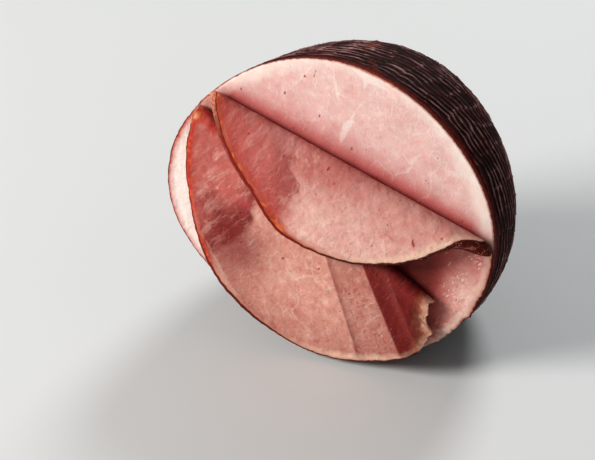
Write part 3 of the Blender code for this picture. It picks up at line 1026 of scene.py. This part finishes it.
def edge_rind_material(name):
    """The rind as it shows on a slice's edge: dark brown with gold specks and a painted highlight line, and
    bare meat where torn.
    """
    n = Nodes(name)
    place = n.place()
    blotch = n.blotches(place, 0.004, 0.35, 0.65, 3, 0.6)
    n.colour = n.mix(blotch, EDGE["dark"], EDGE["brown"])
    speck = n.blotches(place, 0.0008, 0.62, 0.7, 2, 0.6, 0, 0.8)
    n.coat(EDGE["gold"], speck, n.blotches(place, 0.009, 0.44, 0.56, 1))
    n.coat(EDGE["ember"], n.read("ember"), n.range(blotch, 0, 1, 0.75, 1))
    # A pale line along the edge: a painted highlight on the rind's outer layer.
    skin_sheen = n.minus(n.read("side"), n.blotches(place, 0.005, 0.3, 0.7, 2, 0.5, -0.1, 0.6))
    skin_sheen = n.range(n.math("ABSOLUTE", skin_sheen), 0.06, 0.24, 0.55, 0)
    n.coat(EDGE["skin_sheen"], skin_sheen, n.blotches(place, 0.007, 0.44, 0.58, 3))
    tan = n.mix(n.blotches(place, 0.0016, 0.38, 0.64, 3, 0.6), EDGE["tan"], EDGE["deep_tan"])
    n.coat(tan, n.read("tan"))
    crumb = n.mix(n.blotches(place, 0.0018, 0.35, 0.65, 3, 0.6), EDGE["crumb"], EDGE["deep_crumb"])
    n.coat(crumb, n.read("torn"))
    return n.finish({"Roughness": 0.55, "Normal": n.bump(n.noise(place, 0.001, 3, 0.6), 0.0006),
                     "Specular IOR Level": 0.025})


# Looks of the meat.  Some entries are painted light: the shade colour, the near-black shadow colour, and
# the colours and shares of the glints.
BLOCK_LOOKS = dict(
    pink=(0.86, 0.565, 0.515), deep=(0.82, 0.485, 0.44), deeper=(0.76, 0.35, 0.315),
    pale=(0.97, 0.76, 0.69), vein=(0.98, 0.87, 0.79), dusk=(0.57, 0.122, 0.113), gap=None,
    muscle=(0.7, 0.2, 0.16), muscle_dark=(0.45, 0.06, 0.05), muscle_share=1,
    sinew=(0.85, 0.48, 0.42), grain=radians(8), fibre=0.55, ticks=0.35, net=0.45, veins=0.62,
    pit=(0.5, 0.09, 0.08), gash=(0.3, 0.018, 0.016), patches=[], tints=[], crackle=[], cracks=[],
    cream=(0.96, 0.83, 0.75), cream_warm=(0.95, 0.75, 0.65), front_fat=(0.95, 0.86, 0.8),
    fat_soft=5.5, fat_drift=6, fat_ragged=2.2, line_ragged=1.4, spots=[], frayed=None,
    glow=(0.46, 0.06, 0.016), glow_bright=(0.66, 0.17, 0.045), glow_soft=1.3,
    rind=(0.1, 0.01, 0.006), bump=0.0002, dents=1, gloss=0.17, glint=0.3, wet_glints=[],
)
INNER_LOOKS = dict(
    BLOCK_LOOKS, pink=(0.83, 0.49, 0.41), deep=(0.765, 0.375, 0.315), deeper=(0.63, 0.21, 0.18),
    pale=(0.92, 0.62, 0.52), vein=(0.93, 0.7, 0.57), dusk=(0.47, 0.062, 0.052),
    # The near-black colour is the painted shadow deep beside the outer slice.
    gap=(0.06, 0.007, 0.006), muscle=(0.55, 0.14, 0.12), muscle_dark=(0.3, 0.062, 0.054),
    muscle_share=0.9, sinew=(0.8, 0.43, 0.36), grain=0, fibre=0.58, veins=0.6,
    pit=(0.42, 0.055, 0.048), gash=(0.34, 0.03, 0.026), patches=[[(-9, 64, 3), (-12, 54, 2)]],
    tints=[([[(-30, 44, 1), (-22, 41.5, 3), (-14, 38, 4), (2, 33, 1.5)]], 5, (0.92, 0.4, 0.36), 0.6)],
    cracks=[[(-10.3, 52, 0.1), (-1.3, 52.5, 0.2), (1.1, 56.2, 0.3), (0, 61, 0.3), (2.6, 68.3, 0.3),
             (3.7, 74.2, 0.1)],
            # The second crack is painted shade along a crease in the slice's front.
            [(54, -13, 0), (65.2, -20.1, 0.15), (75.2, -28.2, 0)],
            [(55, -55.5, 0.1), (61, -54.8, 0.4), (65.5, -52.8, 0.4), (69, -48.5, 0.1)]],
    cream=(0.92, 0.66, 0.51), cream_warm=(0.88, 0.54, 0.38), front_fat=(0.97, 0.78, 0.65),
    fat_soft=2.6, fat_drift=4.5, fat_ragged=3.2, line_ragged=1.2,
    spots=[[(-12.9, 43.8, 0.1), (-11.5, 44.5, 0)], [(-8.2, 38, 0.2), (-6.5, 38.6, 0)],
           [(-4.7, 37.5, 0.3), (-4.2, 39.5, 0)], [(-7.9, 42.2, 0), (-5, 43, 0.2)]],
    spot=(0.86, 0.52, 0.36), spot_soft=0.9,
    glow=(0.42, 0.042, 0.014), glow_bright=(0.72, 0.15, 0.032), glow_soft=4.8,
    bump=0.00024, dents=2.6, gloss=0.1, glint=0.12,
    # Painted highlights of moisture on the inner slice's front.
    wet_glints=[[(58, -26, 1.5), (62, -32, 3), (67, -37, 2)]], wet_glint_tint=(0.95, 0.72, 0.64),
)
OUTER_LOOKS = dict(
    INNER_LOOKS, pink=(0.74, 0.355, 0.275), deep=(0.68, 0.275, 0.21), deeper=(0.53, 0.155, 0.12),
    pale=(0.85, 0.53, 0.42), dusk=(0.21, 0.016, 0.014), gap=None, muscle=(0.54, 0.122, 0.098),
    muscle_dark=(0.2, 0.016, 0.015), muscle_share=0.95, grain=radians(25), net=0.5, veins=0.45,
    patches=[[(-20, 61, 3), (-7, 57, 6), (-9, 47, 4)]], cracks=[], crackle=[[(46, 1, 6), (76, -1, 8)]],
    tints=[([[(-69, 47.5, 4), (-63, 45, 3), (-57, 43, 1)]], 3.5, (0.5, 0.03, 0.018), 0.95),
           # The next two are painted light: a bright red lifting a shaded wedge at the fold's upper end,
           # and an orange glow round the painted highlight at the tip.
           ([[(-68.5, 46.6, 0.6), (-66, 46.2, 1.4), (-62.8, 45.2, 0.6)]], 2, (0.98, 0.11, 0.065), 0.95),
           ([[(-67.2, 49, 0.8), (-66.2, 49.8, 0.5)]], 2.6, (0.9, 0.2, 0.04), 0.95),
           ([[(-23, 47, 1), (-16, 42, 2.2), (-12.5, 36.5, 1)]], 4.5, (0.47, 0.05, 0.058), 0.7),
           ([[(-10, 38.5, 0.4), (-7, 37, 0.9)]], 3, (0.84, 0.52, 0.42), 0.55)],
    cream=(0.84, 0.58, 0.43), front_fat=(0.95, 0.86, 0.8),
    # A painted highlight at the slice's upper left tip.
    spots=[[(-67, 49.1, 0.35), (-66.4, 49.6, 0.1)]], spot=(1, 0.68, 0.32), spot_soft=1.3,
    # The torn end's orange is partly a painted glow of light through the thin meat.
    frayed=((0.42, 0.11, 0.055), (0.76, 0.4, 0.28)), wet_glints=[],
    glow=(0.42, 0.022, 0.01), glow_bright=(0.66, 0.085, 0.024), glow_soft=3.6,
)


# ---- stage, lights and camera
FLOOR_TINTS = (0.6, 0.6, 0.59), (0.63, 0.63, 0.62)
FLOOR_WIDTH, FLOOR_FRONT, FLOOR_BACK = 3, -2, 1.6
FLOOR_RISE, FLOOR_CURVE = 1.6, 0.5

CAMERA_SIDE = radians(20.46)  # the camera stands this far to the ham's right
CAMERA_RISE = radians(37)  # and looks down by this much
CAMERA_DISTANCE = 0.96447
CAMERA_LENS = 114.96
CAMERA_MISS = (0.018477, 0.011472)  # the face's middle is this far right and up of its axis

# Each lamp's name, place, size, power and colour.  They are aimed at the ham's middle.
LAMPS = (("window", (-1.27, -0.85, 0.86), 0.75, 38, (1, 0.985, 0.96)),
         ("back_light", (0.1, 1, 1.1), 0.5, 12, (0.95, 0.98, 1)))
LAMP_AIM = Vector((0, 0, 0.08))
ROOM_COLOUR, ROOM_STRENGTH = (0.82, 0.86, 0.9, 1), 0.2


def build_floor():
    """A plain pale sheet that curves up behind the ham."""
    n = Nodes("floor_paint")
    n.colour = n.mix(n.noise(n.place(), 0.4), *FLOOR_TINTS)
    profile = [(FLOOR_FRONT, 0)]
    for turn in np.linspace(0, pi / 2, 13):
        profile.append((FLOOR_BACK - FLOOR_CURVE * (1 - sin(turn)), FLOOR_CURVE * (1 - cos(turn))))
    profile.append((FLOOR_BACK, FLOOR_RISE))
    points = np.array([(side * FLOOR_WIDTH, y, z) for y, z in profile for side in (-1, 1)])
    faces = [(2 * k, 2 * k + 1, 2 * k + 3, 2 * k + 2) for k in range(len(profile) - 1)]
    floor = make_object("floor", points, faces, {}, [n.finish({"Roughness": 0.6})])


def build_camera():
    """A long lens on the cut face, from the ham's front right."""
    back = Vector((sin(CAMERA_SIDE) * cos(CAMERA_RISE), -cos(CAMERA_SIDE) * cos(CAMERA_RISE),
                   sin(CAMERA_RISE)))
    right = Vector((cos(CAMERA_SIDE), sin(CAMERA_SIDE), 0))
    up = back.cross(right)
    data = bpy.data.cameras.new("camera")
    data.lens = CAMERA_LENS
    data.clip_start = 0.01
    camera = bpy.data.objects.new("camera", data)
    place = Vector(FACE_CENTRE) + back * CAMERA_DISTANCE - right * CAMERA_MISS[0] - up * CAMERA_MISS[1]
    camera.matrix_world = Matrix.Translation(place) @ Matrix((right, up, back)).transposed().to_4x4()
    bpy.context.scene.collection.objects.link(camera)
    bpy.context.scene.camera = camera


def build_lights():
    """Soft light from a window on the left and a weaker lamp behind, in a dim room."""
    for name, place, size, power, colour in LAMPS:
        data = bpy.data.lights.new(name, "AREA")
        data.shape = "DISK"
        data.size = size
        data.energy = power
        data.color = colour
        lamp = bpy.data.objects.new(name, data)
        lamp.location = place
        lamp.rotation_euler = (LAMP_AIM - Vector(place)).to_track_quat("-Z", "Y").to_euler()
        bpy.context.scene.collection.objects.link(lamp)
    world = bpy.data.worlds.new("room")
    world.use_nodes = True
    background = world.node_tree.nodes["Background"].inputs
    background["Color"].default_value = ROOM_COLOUR
    background["Strength"].default_value = ROOM_STRENGTH
    bpy.context.scene.world = world
    bpy.context.scene.view_settings.view_transform = "Standard"


# ---- putting it together
FACE_CENTRE = find_face_centre()
build_camera()
build_lights()
build_floor()

edge_rind = edge_rind_material("edge_rind_looks")
block_meat = meat_material("block_meat_looks", BLOCK_LOOKS, BLOCK_VEINS, BLOCK_GASHES)
inner_meat = meat_material("inner_meat_looks", INNER_LOOKS, INNER_VEINS, INNER_GASHES)
outer_meat = meat_material("outer_meat_looks", OUTER_LOOKS, OUTER_VEINS)
block = build_block(rind_material("smoked_rind_looks"), block_meat)
inner = build_slice("inner_ham_slice", INNER_FOLD, inner_meat, edge_rind, INNER_BACK, INNER_FRONT)
outer = build_slice("outer_ham_slice", OUTER_FOLD, outer_meat, edge_rind, OUTER_BACK, OUTER_FRONT)
for piece, node, slot in ((block, "ham_block", "smoked_rind"), (inner, "inner_slice", "inner_slice_meat"),
                          (outer, "outer_slice", "outer_slice_meat")):
    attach(piece, "root")
    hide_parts(node)
